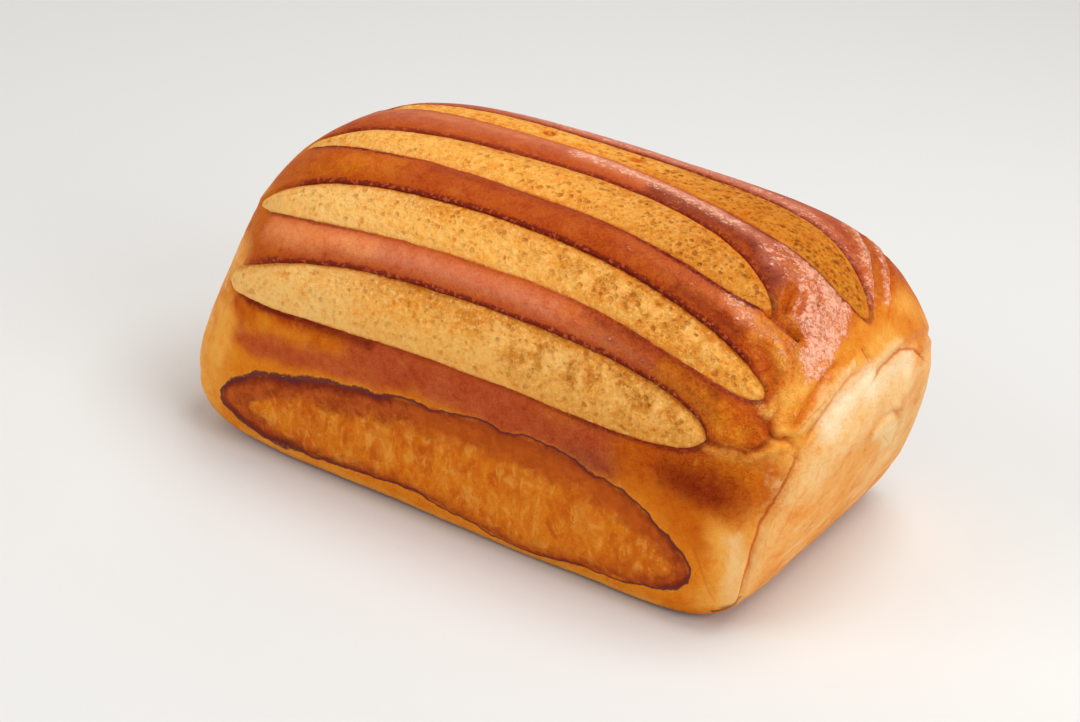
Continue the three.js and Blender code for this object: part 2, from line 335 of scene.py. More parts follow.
mark("rose", 2.2, 0.85, 0.6, 1.5, (80, -36), (89, -28), (96, -16), lift=0.5, glintAndGloss=0.6)
mark("amber", 1.3, 0.8, 0.6, 1, (78, -32), (87, -25), (94, -14), (98, -4), lift=-0.7, glintAndGloss=-0.6)
mark("straw", 4.5, 0.8, 0.8, 1.5, (99, -34), (100.5, 0), (101, 30), (100, 54))
mark("gold", 1.8, 0.85, 0.6, 0.6, (79.5, 25.5), (80.9, 31), (82, 37.5), lift=-1.2, glintAndGloss=-1, taper=True)
mark("copper", 1, 0.6, 0.6, 0.5, (82.5, 27), (85, 31), (85.3, 36), glintAndGloss=-0.6, taper=True)
mark("amber", 1.8, 0.85, 0.6, 0.6, (75, 37), (79.7, 39.8), (84.4, 41.6), (89.5, 43.6), lift=-1.4,
     glintAndGloss=-1, taper=True)
mark("honey", 1.2, 0.8, 0.6, 0.5, (86, 40), (91, 44.5), lift=-1, glintAndGloss=-1, taper=True)
mark("straw", 1.6, 0.8, 0.6, 0.6, (75.5, 33.5), (79, 39), lift=1, glintAndGloss=0.5, taper=True)
mark("straw", 1.6, 0.6, 0.6, 0.6, (83.5, 47), (87, 51), (90, 56), lift=0.9, glintAndGloss=0.4, taper=True)
mark("gold", 2.2, 0.7, 0.9, 1.2, (92, 50), (95, 58), (96, 66), lift=0.6, glintAndGloss=0.2)
# a groove by the right tip of the score at 48 degrees: its amber is a painted shadow
mark("amber", 1.8, 0.9, 0.6, 0.7, (80, 49.5), (84, 53), (87.5, 58), (90, 63), (92, 67), lift=-0.6,
     taper=True)
# pale straw glints here: painted highlights on the crust
mark("straw", 1.3, 0.7, 0.6, 0.8, (90.4, 62), (91, 68), lift=0.4, taper=True)
mark("straw", 1.2, 0.7, 0.8, 0.8, (85, 64), (88.5, 67), (91.5, 69.5), lift=0.6, glintAndGloss=0.35, taper=True)
mark("copper", 1.2, 0.8, 0.6, 0.5, (89, 69.5), (92, 73.5), (95, 74.5), (98.5, 73.5), lift=-1.3,
     taper=True)
mark("russet", 0.8, 0.4, 0.6, 0.4, (75, 79.6), (82, 79.6), (88, 79.9), (91.5, 77.5), (93, 75),
     lift=-0.5)
mark("straw", 1.5, 0.85, 0.6, 0.6, (75, 81.6), (83, 81.4), (89, 81.6), (93, 79), (97, 77), lift=0.8,
     taper=True)
mark("straw", 5, 0.9, 0.6, 2, (95, 60), (98, 72), (98, 84), (95, 98))
mark("honey", 1, 0.7, 0.6, 0.6, (96, 73), (100, 76), (101, 82), lift=-0.8, taper=True)

# below the first score
mark("honey", 4.5, 0.8, 0.6, 2, (-99, 91), (-84, 91))
mark("amber", 4, 0.9, 0.6, 2, (-88, 92), (-70, 92), (-40, 90.5))
mark("gold", 2.8, 0.75, 0.9, 2, (-78, 93), (-58, 92.6))
mark("gold", 2.2, 0.7, 0.9, 2, (-90, 95), (-84, 99))
mark("gold", 2, 0.5, 0.9, 2, (-52, 92.5), (-40, 92))
mark("copper", 1.4, 0.7, 0.9, 1.2, (-70, 89.5), (-60, 89.5))
mark("copper", 1.2, 0.6, 0.9, 1.5, (-96, 88), (-90, 92), (-86, 97))
mark("honey", 2, 0.5, 0.9, 1.5, (-104, 96), (-100, 104), (-99, 112))
mark("brick", 3.6, 0.85, 0.8, 2, (-86, 100), (-70, 98.5), (-48, 96), (-24, 93))
mark("brick", 7.5, 1, 0.5, 3, (-36, 88), (-20, 90), (0, 91), (26, 91), (50, 92), size=16)
mark("russet", 1.4, 0.75, 0.9, 1, (-84, 89), (-60, 87.6), (-36, 86.8))
mark("brick", 2.6, 0.8, 0.9, 1.5, (-80, 101.5), (-61, 99), (-46, 97.4), (-31, 96.4))
mark("plum", 4, 0.3, 0.9, 2, (38, 96), (54, 96))
mark("gold", 6, 0.85, 0.8, 2, (60, 98), (72, 104), (84, 112))
mark("amber", 4.5, 0.6, 0.95, 2, (58, 95), (68, 99), (77, 105))
mark("amber", 8, 0.9, 0.8, 2, (58, 90), (70, 89), (84, 90), (94, 90))
mark("honey", 3, 0.7, 0.9, 1.5, (84, 84.5), (92, 86))
mark("copper", 7.5, 0.6, 0.95, 2, (66, 90), (78, 93), (86, 95))
mark("bistre", 5.5, 0.8, 0.95, 2, (72, 92), (84, 94))
mark("straw", 4.6, 0.85, 0.95, 2, (86, 106), (90, 112), (90, 122))
mark("amber", 3.6, 0.6, 0.95, 2, (70, 99), (77, 103), (81, 109))
mark("cream", 2.4, 0.6, 0.95, 1.5, (90.5, 106), (92, 114), (91, 121))
mark("straw", 4, 0.7, 0.9, 1, (84, 123), (93, 122))
mark("straw", 2.4, 0.6, 0.8, 1.2, (-84, 128), (-60, 127), (-20, 128), (20, 129), (70, 128))
mark("umber", 1.6, 0.9, 0.5, 0.8, (86, 127.5), (93, 126.5), taper=True)
# the left end
mark("straw", 5, 0.8, 0.6, 2, (-93, 98), (-97, 108))
mark("amber", 5, 0.6, 0.6, 2, (-92, 38), (-94, 46))
mark("gold", 4, 0.6, 0.6, 2, (-102, 30), (-103, 50), (-104, 75))

# the right end face: the white marks and the broad cream one under the arch are pale crust with a
# painted highlight
mark("white", 4.2, 0.85, 0.95, 2.2, (-38, 66), (-28, 71), (-14, 73.5), end=1, size=6)
mark("white", 4, 0.75, 0.95, 2.2, (-14, 70), (0, 71.5), (12, 70), end=1, size=6)
mark("cream", 7, 0.6, 0.95, 2.5, (-44, 52), (-30, 62), (-10, 66), (10, 66), end=1)
mark("cream", 4.5, 0.9, 0.7, 1, (-11, 55), (0, 53), (8, 47), (15, 39), lift=1, taper=True, end=1)
mark("gold", 5, 0.9, 0.6, 2, (14, 79), (26, 76), (36, 69), end=1)
mark("cream", 14, 0.4, 0.9, 3, (20, 30), (40, 40), (44, 55), end=1)
mark("cream", 5, 0.45, 0.95, 3, (2, 62), (14, 58), (22, 46), (26, 34), end=1)
mark("gold", 3, 0.8, 0.6, 1.5, (-47, 70), (-34, 78), (-20, 83), (0, 85), (12, 84), end=1)
mark("cream", 1.5, 0.6, 0.95, 1.6, (-48, 66), (-36, 75.3), (-20, 80), lift=0.5, taper=True, end=1)
mark("cream", 1.7, 0.6, 0.95, 1.2, (-12, 76), (0, 77.5), (12, 76.5), lift=0.6, taper=True, end=1)
mark("cream", 4, 0.35, 0.95, 2, (-56, 12), (-55, 30), (-50, 46), end=1)
mark("gold", 5, 0.35, 0.95, 2, (-40, 12), (0, 14), (40, 14), end=1)

# the left end face
mark("cream", 5, 0.5, 0.95, 3, (-40, 58), (-20, 66), (10, 66), (34, 58), end=-1)
mark("cream", 12, 0.3, 0.95, 4, (-30, 30), (0, 36), (30, 30), end=-1)
mark("gold", 5, 0.35, 0.95, 2, (-44, 12), (0, 14), (44, 12), end=-1)

# deeper browning along the first two strips
mark("bistre", 4.5, 0.16, 0.9, 1.5, (-50, 35.6), (-20, 34.8), (10, 34.8), (30, 36.4), (52, 40.5))
mark("bistre", 3.6, 0.3, 0.9, 1.5, (36, 62.5), (50, 64.8), (64, 68), (76, 72))

# Thin creases, traced like brush marks: half width in mm, depth in mm, how dark their painted shade is,
# and the places
creases = []


def crease(wide, deep, dark, *at, end=0):
    creases.append({"wide": wide, "deep": deep, "dark": dark, "at": at, "end": end})


# along the right end of the front wall and round its corner
crease(0.5, 0.7, 0.6, (72, 80.2), (78, 80), (84, 79.6), (89, 80), (91.5, 78), (92.5, 75.5))
crease(0.5, 1, 0.7, (91, 68.5), (91.5, 71), (93.5, 74), (96, 74.2), (99, 73))
crease(0.3, 0.4, 0.3, (79, 109), (83, 115), (88, 124))
crease(0.6, 0.4, 0.2, (80, 49), (84, 53), (87.5, 58), (90, 63), (91.5, 66))
crease(0.9, 1.2, 0.6, (79.8, 25.5), (81, 31.8), (82.6, 38.6))
crease(0.9, 1.2, 0.6, (74, 35.4), (79.7, 39.5), (84.4, 41.4), (90, 43.6))
crease(0.45, 0.8, 0.4, (86, 37), (89, 40), (94, 42))
crease(0.45, 0.6, 0.35, (84, 19), (87, 23), (88, 29), (87, 34))
crease(0.45, 0.6, 0.3, (90, 12), (92, 20), (93, 30))
crease(0.45, 0.6, 0.35, (87, 47), (90, 51), (93, 58))
crease(0.5, 1.1, 0.5, (76, -30), (86, -23), (93, -12), (97, -2))
crease(0.5, 1, 0.5, (82, -40), (91, -31), (97, -20), (100, -10))
# on the right end
crease(0.5, 0.9, 0.85, (-53, 7), (-56.6, 18), (-57.5, 29), (-56.8, 37.4), (-55.2, 43.8), (-52.6, 50),
       (-49.5, 57), (-47, 62), end=1)
crease(0.4, 0.4, 0.25, (-51, 30), (-48, 42), (-43, 52), end=1)
crease(0.5, 0.9, 0.8, (-16, 71.5), (-10, 73.3), (0, 74.6), (10, 74.4), (18, 72), (24, 68), (31, 63),
       end=1)
crease(0.5, 0.9, 0.6, (-14, 82), (-13, 79), (-12.4, 77), end=1)
crease(0.55, 0.8, 0.5, (-48, 61), (-44, 66), (-39.8, 69.5), (-33, 74), (-24.8, 76.7), (-15.7, 77.2),
       end=1)
crease(0.7, 0.8, 0.35, (-50, 66), (-42, 74), (-33, 79.5), (-24, 82), end=1)
crease(0.45, 0.8, 0.35, (-6, 58), (3, 57.5), (11, 53), (17, 46), (21, 37), end=1)
crease(0.4, 0.5, 0.2, (-13, 53), (-10, 48), (-5, 43), end=1)
# on the left end
crease(0.6, 0.7, 0.5, (-46, 58), (-30, 67), (-8, 71), (10, 71), (30, 65), (44, 56), end=-1)
crease(0.5, 0.6, 0.5, (52, 12), (51, 30), (47, 46), end=-1)

# How creases are traced and shaded: reach, sizes and widths in mm
foldForm = {"samples": 40, "reach": 6, "wander": 0.5, "wanderSize": 5, "darkEdges": (4.5, 2.5),
            "leastValley": 0.9, "bank": 0.45, "bankAt": 2, "bankWidth": 1.2}

# Height over the bare form and slide towards the crumb at distances outside a score's outline
earShape = {"at": (-3, -1.6, -0.9, -0.4, -0.1, 0.2, 0.8, 1.6, 3.2, 5.5),
            "height": (-3.4, -3.3, -2.4, -1.1, 0.0, 0.6, 0.9, 0.65, 0.2, 0),
            "slide": (0, -0.3, -0.35, 0.1, 0.35, 0.5, 0.4, 0.2, 0, 0)}
hemShape = {"at": (-3, -1.6, -0.8, -0.3, 0, 0.4, 1.0, 2, 3.5),
            "height": (-3.4, -3.1, -1.8, -0.6, -0.05, 0.12, 0.15, 0.08, 0)}

# The patch that lay against the tin on each long wall: outline in x and z
ovals = {
    "front": {"left": -92, "right": 79.5, "peak": 22, "top": 42.7, "fallLeft": 0.0032,
              "fallRight": 0.0047, "floor": 7.5, "dips": ((25, 18, -4), (-22, 18, 1.9), (-76, 12, -2))},
    "back": {"left": -80, "right": 88, "peak": -10, "top": 40, "fallLeft": 0.0042,
             "fallRight": 0.0034, "floor": 8, "dips": ((-30, 20, -3), (30, 16, 2))},
}


def ovalEdges(oval, x):
    # upper and lower edge of the patch at x: a peak that falls away, and a floor with dips
    side = x - oval["peak"]
    drop = np.where(side < 0, oval["fallLeft"] * np.abs(side) ** 1.8, oval["fallRight"] * side**2)
    floor = oval["floor"] + sum(depth * bell(x - place, wide) for place, wide, depth in oval["dips"])
    return oval["top"] - drop, floor


def ovalShare(oval, x, z):
    # 1 on the outline, less inside: height over the half height, and length to the eighth power
    top, floor = ovalEdges(oval, x)
    half = np.maximum((top - floor) / 2, 2)
    length = (oval["right"] - oval["left"]) / 2
    away = np.abs(x - (oval["right"] + oval["left"]) / 2) / length
    return np.sqrt(((z - (top + floor) / 2) / half) ** 2 + away**8 + 1e-6)


def ovalDistance(oval, x, z):
    # mm inside the outline, from the share and its slope
    step = 0.5
    share = ovalShare(oval, x, z)
    slopeX = (ovalShare(oval, x + step, z) - ovalShare(oval, x - step, z)) / (2 * step)
    slopeZ = (ovalShare(oval, x, z + step) - ovalShare(oval, x, z - step)) / (2 * step)
    return (1 - share) / np.maximum(np.hypot(slopeX, slopeZ), leastSlope)


def tracePath(stroke, samples=18):
    # a brush mark's places as evenly stepped points on the bare form
    at = np.array(stroke["at"], float)
    steps = np.linalg.norm(np.diff(at, axis=0), axis=1)
    stops = np.concatenate([[0], np.cumsum(steps)]) / steps.sum()
    t = np.linspace(0, 1, samples)
    first = np.interp(t, stops, at[:, 0])
    second = np.interp(t, stops, at[:, 1])
    if not stroke["end"]:
        return fromCore(first, 0 * first, second)
    origin = np.stack([0 * first, first, second], -1)
    ray = np.zeros((samples, 3))
    ray[:, 0] = stroke["end"]
    return castOut(origin, ray)


def distanceTo(path, points, normal=None):
    # distance to a line of straight pieces, the share of the way along it, and its side: 1 or -1
    best = np.full(len(points), np.inf)
    share = np.zeros(len(points))
    side = np.ones(len(points))
    pieces = len(path) - 1
    for index in range(pieces):
        edge = path[index + 1] - path[index]
        offset = points - path[index]
        t = np.clip(offset @ edge / (edge @ edge), 0, 1)
        distance = np.linalg.norm(offset - t[:, None] * edge, axis=1)
        closer = distance < best
        best = np.where(closer, distance, best)
        share = np.where(closer, (index + t) / pieces, share)
        if normal is not None:
            crossing = np.sum(offset * np.cross(edge, normal), axis=1)
            side = np.where(closer, np.where(crossing < 0, -1, 1), side)
    return best, share, side


def withinReach(points, path, reach):
    # which points lie in the box round a path, grown by reach
    return np.all((points > path.min(0) - reach) & (points < path.max(0) + reach), axis=1)


def foldLines(points, normal):
    # creases: distance from the nearest in line widths with its side, the strength of its painted
    # shade,
    # and the relief: a valley of the crease's depth with a low bank on either side
    cut = np.full(len(points), 9.0)
    strength = np.zeros(len(points))
    relief = np.zeros(len(points))
    nearest = np.full(len(points), np.inf)
    for index, fold in enumerate(creases):
        path = tracePath(fold, foldForm["samples"])
        near = np.flatnonzero(withinReach(points, path, foldForm["reach"]))
        spot = points[near]
        distance, share, side = distanceTo(path, spot, normal[near])
        fading = smooth(share, 0, 0.15) * smooth(share, 1, 0.85)
        wander = foldForm["wander"] * lumps(spot, foldForm["wanderSize"], 300 + index)
        closer = distance < nearest[near]
        chosen = near[closer]
        nearest[chosen] = distance[closer]
        cut[chosen] = ((distance * side + wander) / fold["wide"])[closer]
        strength[chosen] = (fold["dark"] * fading * smooth(distance, *foldForm["darkEdges"]))[closer]
        valley = bell(distance + wander * side, max(fold["wide"] * 1.3, foldForm["leastValley"]))
        bank = foldForm["bank"] * bell(distance - foldForm["bankAt"], foldForm["bankWidth"])
        relief[near] += fold["deep"] * fading * (bank - valley)
    return cut, strength, relief


def brush(stroke, points, seed):
    # the strength of a brush mark and its relief at each point: 1 inside its half width, 0 beyond
    path = tracePath(stroke)
    wide, soft = stroke["wide"], stroke["soft"]
    near = withinReach(points, path, wide * (1 + soft) * 2 + stroke["ragged"])
    strength = np.zeros(len(points))
    relief = np.zeros(len(points))
    if near.any():
        distance, share, _ = distanceTo(path, points[near])
        wander = stroke["ragged"] * lumps(points[near], stroke["size"], seed)
        distance = np.maximum(distance + wander, 0)
        if stroke["taper"]:
            wide = wide * np.sqrt(np.clip(4 * share * (1 - share), 0.02, 1))
        strength[near] = 1 - smooth(distance / wide, 1 - soft, 1 + soft)
        relief[near] = stroke["lift"] * bell(distance, wide)
    return strength, relief


def painted(tones, *layers):
    # each layer moves the tones by its weight towards its colour
    for weight, name in layers:
        tones = tones + (palette[name] - tones) * np.clip(weight, 0, 1)[:, None]
    return tones


def closedSkin(name, grid, poles, layers, tones, material):
    # rows of closed rings along X, joined into quads, with a pole closing each end
    rows, columns = grid.shape[:2]
    points = (np.concatenate([grid.reshape(-1, 3), poles]) + boxShift) * metre
    ring = np.arange(columns)
    following = (ring + 1) % columns
    base = np.arange(rows - 1)[:, None] * columns
    quads = [base + ring, base + following, base + columns + following, base + columns + ring]
    quads = np.stack(quads, -1).reshape(-1, 4)
    last = (rows - 1) * columns
    first = rows * columns
    fans = np.concatenate([
        np.stack([np.full(columns, first), following, ring], -1),
        np.stack([np.full(columns, first + 1), last + ring, last + following], -1),
    ])
    corners = np.concatenate([quads.ravel(), fans.ravel()])
    totals = np.concatenate([np.full(len(quads), 4), np.full(len(fans), 3)])
    mesh = bpy.data.meshes.new(name)
    mesh.vertices.add(len(points))
    mesh.loops.add(len(corners))
    mesh.polygons.add(len(totals))
    mesh.vertices.foreach_set("co", points.astype(np.float32).ravel())
    mesh.loops.foreach_set("vertex_index", corners.astype(np.int32))
    mesh.polygons.foreach_set("loop_start", (np.cumsum(totals) - totals).astype(np.int32))
    mesh.polygons.foreach_set("loop_total", totals.astype(np.int32))
    mesh.polygons.foreach_set("use_smooth", np.ones(len(totals), bool))
    mesh.update(calc_edges=True)
    mesh.validate()
    for layer, values in layers.items():
        data = mesh.attributes.new(layer, "FLOAT", "POINT").data
        data.foreach_set("value", values.astype(np.float32))
    opaque = np.concatenate([tones, np.ones((len(tones), 1))], 1)
    data = mesh.attributes.new("tone", "FLOAT_COLOR", "POINT").data
    data.foreach_set("color", opaque.astype(np.float32).ravel())
    mesh.materials.append(material)
    piece = bpy.data.objects.new(name, mesh)
    bpy.context.scene.collection.objects.link(piece)
    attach(piece, "root")
    return piece


class Wire:
    # a shader socket with arithmetic: numbers join through Math nodes

    def __init__(self, tree, socket):
        self.tree = tree
        self.socket = socket

    def math(self, operation, *others):
        node = self.tree.nodes.new("ShaderNodeMath")
        node.operation = operation
        for slot, value in enumerate((self, *others)):
            plug(self.tree, node.inputs[slot], value)
        return Wire(self.tree, node.outputs[0])

    def other(self, name):
        # another output of the same node
        return Wire(self.tree, self.socket.node.outputs[name])

    def swing(self, amount):
        # a noise about its middle: (value - 0.5) * amount
        return (self - 0.5) * amount

    def __add__(self, other):
        return self.math("ADD", other)

    __radd__ = __add__

    def __mul__(self, other):
        return self.math("MULTIPLY", other)

    __rmul__ = __mul__

    def __sub__(self, other):
        return self.math("SUBTRACT", other)

    def __rsub__(self, other):
        return self.math("MULTIPLY", -1).math("ADD", other)

    def __truediv__(self, other):
        return self.math("DIVIDE", other)

    def __abs__(self):
        return self.math("ABSOLUTE")


def plug(tree, socket, value):
    # joins a wire to a socket, or sets the socket's own value
    if isinstance(value, Wire):
        tree.links.new(value.socket, socket)
    else:
        socket.default_value = value


class Finish:
    # a material under construction

    def __init__(self, name):
        self.material = bpy.data.materials.new(name)
        self.material.use_nodes = True
        self.tree = self.material.node_tree
        self.tree.nodes.clear()
        self.place = self.node("ShaderNodeTexCoord", out="Object")

    def node(self, kind, settings=None, out=0, **sockets):
        # a node of any kind: settings first, then its sockets, whose names drop spaces
        node = self.tree.nodes.new(kind)
        for name, value in (settings or {}).items():
            setattr(node, name, value)
        byName = {}
        for socket in node.inputs:
            if socket.enabled:
                byName.setdefault(socket.name.replace(" ", ""), socket)
        for name, value in sockets.items():
            plug(self.tree, byName[name], value)
        return Wire(self.tree, node.outputs[out])

    def layer(self, name, out="Fac"):
        # values painted on the mesh
        return self.node("ShaderNodeAttribute", {"attribute_name": name}, out=out)

    def stretched(self, scale, turn=0):
        # the piece's coordinates turned about X, then scaled: below 1 draws a pattern out
        return self.node("ShaderNodeMapping", Vector=self.place, Rotation=(turn, 0, 0), Scale=scale)

    def noise(self, millimetres, detail=2, roughness=0.5, where=None, distortion=0):
        return self.node("ShaderNodeTexNoise", Vector=where or self.place, Scale=1000 / millimetres,
                         Detail=detail, Roughness=roughness, Distortion=distortion)

    def step(self, value, low, high):
        # a smooth step from 0 at low to 1 at high
        settings = {"interpolation_type": "SMOOTHSTEP"}
        return self.node("ShaderNodeMapRange", settings, Value=value, FromMin=low, FromMax=high)

    def blend(self, share, first, second, kind="MIX"):
        # a mix of two colours
        node = self.tree.nodes.new("ShaderNodeMix")
        node.data_type = "RGBA"
        node.blend_type = kind
        node.clamp_factor = True
        plug(self.tree, node.inputs["Factor"], share)
        colourSockets = [socket for socket in node.inputs if socket.type == "RGBA"]
        for socket, value in zip(colourSockets, (first, second)):
            plug(self.tree, socket, value if isinstance(value, Wire) else (*value, 1))
        return Wire(self.tree, [socket for socket in node.outputs if socket.type == "RGBA"][0])

    def gamma(self, tone, power):
        # every channel raised to a power: above 1 deeper and more saturated
        return self.node("ShaderNodeGamma", Color=tone, Gamma=power)

    def worked(self, base, *layers):
        # each layer: as its value goes from low to high, the colour moves by a weight towards a
        # change, which is a palette colour, another colour, or a power of the colour itself
        for value, low, high, weight, change in layers:
            if isinstance(change, str):
                change = palette[change]
            elif not isinstance(change, Wire):
                change = self.gamma(base, change)
            base = self.blend(self.step(value, low, high) * weight, base, change)
        return base

    def bump(self, height, distance, strength):
        return self.node("ShaderNodeBump", Height=height, Distance=distance, Strength=strength)

    def finish(self, base, roughness, normal, coat=0.0, specular=0.06, subsurface=0.0):
        shader = self.tree.nodes.new("ShaderNodeBsdfPrincipled")
        sockets = {"Base Color": base, "Roughness": roughness, "Normal": normal, "Coat Weight": coat,
                   "Coat Roughness": 0.3, "Specular IOR Level": specular}
        if subsurface:
            # light goes 3 mm deep in red, less in green and blue
            sockets["Subsurface Weight"] = subsurface
            sockets["Subsurface Radius"] = (0.003, 0.0015, 0.0006)
        for name, value in sockets.items():
            plug(self.tree, shader.inputs[name], value)
        output = self.tree.nodes.new("ShaderNodeOutputMaterial")
        self.tree.links.new(shader.outputs[0], output.inputs[0])
        return self.material


def crustFinish():
    # the painted tone, mottled, and over it the tin patch, the glints, the burnt lace and the creases
    look = Finish("bakedCrust")
    names = ("oval", "inside", "line", "rim", "ear", "hem", "gloss", "crackle", "glintAndGloss", "cut",
             "creaseShade", "face")
    (oval, inside, line, rim, ear, hem, gloss, crackle, glintAndGloss, cut, creaseShade,
     face) = (look.layer(name) for name in names)
    broad = look.noise(14, 4, 0.6)
    middle = look.noise(4, 4, 0.62, distortion=0.4)
    small = look.noise(1.9, 4, 0.65, distortion=0.3)
    fine = look.noise(0.8, 3, 0.6)
    grain = look.noise(0.42, 2, 0.6)
    streak = look.noise(2.6, 4, 0.65, look.stretched((1, 1, 0.3)), 0.4)
    slant = look.noise(5, 3, 0.6, look.stretched((1, 0.3, 1), 0.8))
    tall = look.stretched((1, 1, 0.55))
    smear = look.noise(8, 3, 0.6, tall, 0.6)
    leather = look.noise(3.6, 4, 0.66, tall, 0.8)

    # mottling: deeper and paler versions of the painted tone, and slanting smears on the end faces,
    # whose white specks are painted glints
    base = look.worked(
        look.layer("tone", "Color"),
        (broad, 0.45, 0.7, 0.4, 1.3),
        (middle, 0.5, 0.68, 0.42 + crackle * 0.25, 1.45),
        (middle, 0.5, 0.28, 0.5, 0.8),
        (streak, 0.5, 0.7, 0.3, 1.3),
        (small, 0.52, 0.66, crackle * 0.45, 1.5),
        (small, 0.46, 0.34, crackle * 0.4, 0.75),
        (fine, 0.52, 0.68, 0.3, 1.45),
        (grain, 0.5, 0.7, 0.35, 1.35),
        (grain, 0.5, 0.3, 0.25, 0.78),
        (slant, 0.48, 0.72, face * 0.45, 1.3),
        (slant, 0.48, 0.3, face * 0.4, "cream"),
        (small, 0.5, 0.68, face * 0.3, 1.4),
        (middle, 0.5, 0.68, face * 0.2, 1.4),
        (fine + small, 0.88, 0.74, face * 0.15, "white"),
    )

    # the patch that lay against the tin: a russet margin, more copper where its outline is faint
    margin = look.step(oval + small.swing(3), -0.4, 1.2)
    russet = look.worked(
        palette["russet"],
        (middle, 0.35, 0.65, 0.8, "brick"),
        (small, 0.52, 0.7, 0.35, "honey"),
    )
    russet = look.blend(look.step(line, 0.8, 0.4) * 0.4 + 0.15, russet, palette["copper"])
    base = look.blend(margin * 0.9, base, russet)
    dusk = margin * (line * 0.32 + 0.15)
    base = look.worked(base, (oval + middle.swing(5), 4.5, 0.8, dusk, "maroon"))
    # its mottled golden middle, with tall smears and a leathery net
    gold = look.blend(look.step(middle + streak * 0.6, 0.65, 1), palette["gold"], palette["honey"])
    gold = look.worked(
        gold,
        (streak, 0.46, 0.7, 0.5, 1.35),
        (small, 0.5, 0.7, 0.4, 1.4),
        (broad, 0.48, 0.64, 0.45, "copper"),
        (smear, 0.53, 0.66, 0.55, "copper"),
        (smear, 0.48, 0.34, 0.2, "straw"),
        (leather, 0.5, 0.6, 0.45, 1.5),
        (leather, 0.48, 0.36, 0.55, "straw"),
        ((small + fine) * 0.5, 0.46, 0.36, 0.25, "straw"),
        ((fine + grain) * 0.5, 0.52, 0.62, 0.35, 1.4),
    )
    # its burnt outline, sooty inwards, with pale chips along the outer side
    wobble = oval + look.noise(13, 3, 0.55).swing(8) + small.swing(0.25)
    depth = wobble / (line * (look.noise(7) * 1.2 + 0.4))
    outer = look.step(depth, -0.9, -0.3)
    base = look.worked(
        base,
        (inside + broad.swing(16) + middle.swing(9) + small.swing(4), -1, 6.5, 0.85, gold),
        (depth, 4, 0.8, outer * 0.55, "maroon"),
        (depth, 1.5, 0.3, outer * 0.8, "plum"),
        (abs(wobble + 0.9) / line, 1, 0.2, look.step(fine, 0.56, 0.66) * 0.6, "straw"),
    )

    # painted highlight: pale broken glints where the glaze shines, and fine cracks through them
    crack = abs(look.noise(4, 3, 0.6, distortion=1.2) - 0.5)
    broken = glintAndGloss + middle.swing(1.1) + small.swing(2.2) + fine.swing(1.6)
    base = look.worked(
        base,
        (broken, 0.35, 0.95, look.step(glintAndGloss, 0, 0.3) * 0.85, "pink"),
        (fine + small, 1.1, 1.26, glintAndGloss * 0.5, "pink"),
        (crack, 0.035, 0, glintAndGloss * 0.7, "copper"),
    )

    # burnt lace along the scores: wide above, narrow below
    beads = look.step(look.noise(1.3), 0.52, 0.62)
    lace = look.blend(beads * 0.7, palette["maroon"], palette["lace"])
    hemLace = look.blend(beads * 0.5, palette["maroon"], palette["brick"])
    fringe = rim + middle.swing(2.4) + small.swing(1.6) + fine.swing(0.8)
    browned = rim + middle.swing(3)
    base = look.worked(
        base,
        (browned, 3, 0.4, (ear + hem * 0.8) * 0.35, 1.7),
        (fringe, 1.6, 0.7, ear * 0.9, lace),
        (rim + small.swing(2.4), 0.25, -0.4, ear * 0.7, "ember"),
        (fringe - hem * 0.5, 1.1, 0.1, hem * 0.8, hemLace),
    )

    # creases as dark lines of painted shade in a faint halo of it, then crackle and specks
    deep = look.blend(0.55, look.gamma(base, 2.4), palette["copper"])
    base = look.worked(
        base,
        (abs(cut), 1.3, 0.5, creaseShade * 0.75, deep),
        (abs(cut), 3.5, 0, creaseShade * 0.35, 1.5),
        (crack, 0.03, 0, crackle * 0.3, 1.6),
        (look.noise(0.9, 1), 0.66, 0.76, crackle * 0.4, 1.8),
    )

    roughness = 0.62 - (gloss + glintAndGloss) * 0.15 + fine.swing(0.2)
    height = broad.swing(0.5) + middle.swing(0.25 + 0.75 * crackle) + grain.swing(0.12)
    height = height + small.swing(0.35 + crackle * 0.7) + fine.swing(0.25 + ear * 0.3)
    height = height + look.step(crack, 0, 0.05) * crackle * 0.15
    glaze = (gloss * 0.14 + glintAndGloss * 0.35) * (1 - look.step(browned, 3, 0.4) * ear * 0.8)
    return look.finish(base, roughness, look.bump(height, 0.0016, 0.8), glaze, subsurface=0.05)


# Sizes of the crumb's bubbles in mm, the edges of their hollows in bubble sizes, and their strength
bubbles = ((1.6, 0.1, 0.42, 0.5), (2.7, 0.1, 0.38, 0.85), (6, 0.06, 0.21, 0.9))


